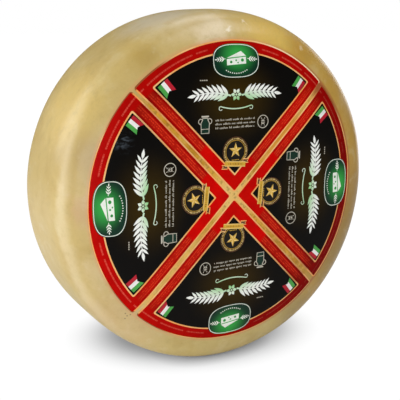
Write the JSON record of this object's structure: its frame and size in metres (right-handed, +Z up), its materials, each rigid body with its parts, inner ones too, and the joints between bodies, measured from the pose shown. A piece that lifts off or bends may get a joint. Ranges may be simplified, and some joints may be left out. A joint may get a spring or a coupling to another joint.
{
  "type": "hard cheese wheel",
  "caption": "Whole drum-shaped wheel of aged hard cheese standing on its rim, with quarter-round printed paper labels covering one face.",
  "frame": {"origin": "on the ground, below the middle of the wheel, at the middle of the flat spot it rests on", "axes": "+Z up, the wheel's axis along Y, its labelled face towards -Y"},
  "size_m": [0.4395, 0.1807, 0.4383],
  "materials": {
    "rind": "smooth satin, pale straw yellow with golden and creamy clouds",
    "label": "glossy printed paper, red border round a near-black field"
  },
  "bodies": {
    "root": {"wheel": "rind", "label_top": "label", "label_right": "label", "label_bottom": "label", "label_left": "label"}
  },
  "joints": []
}
